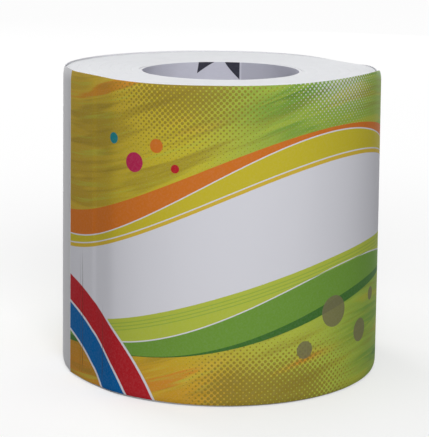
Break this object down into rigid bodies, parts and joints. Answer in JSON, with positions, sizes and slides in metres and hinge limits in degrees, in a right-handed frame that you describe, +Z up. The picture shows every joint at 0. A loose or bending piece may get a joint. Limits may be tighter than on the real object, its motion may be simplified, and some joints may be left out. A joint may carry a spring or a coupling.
{
  "type": "toilet paper roll",
  "caption": "Wound tissue roll on a board core, standing on end, with a printed paper band lapped and glued round its side.",
  "frame": {"origin": "centre of the base, on the axis of the core", "axes": "+Z up the core's axis; the front of the print faces -Y, and the band's glued lap is at the left of the front"},
  "size_m": [0.1038, 0.1038, 0.098],
  "materials": {
    "core_board": "uncoated pale board",
    "tissue": "matte soft tissue",
    "printed_paper": "satin printed paper"
  },
  "bodies": {
    "root": {"core_tube": "core_board", "tissue_roll": "tissue", "paper_wrapper": "printed_paper"}
  },
  "joints": []
}
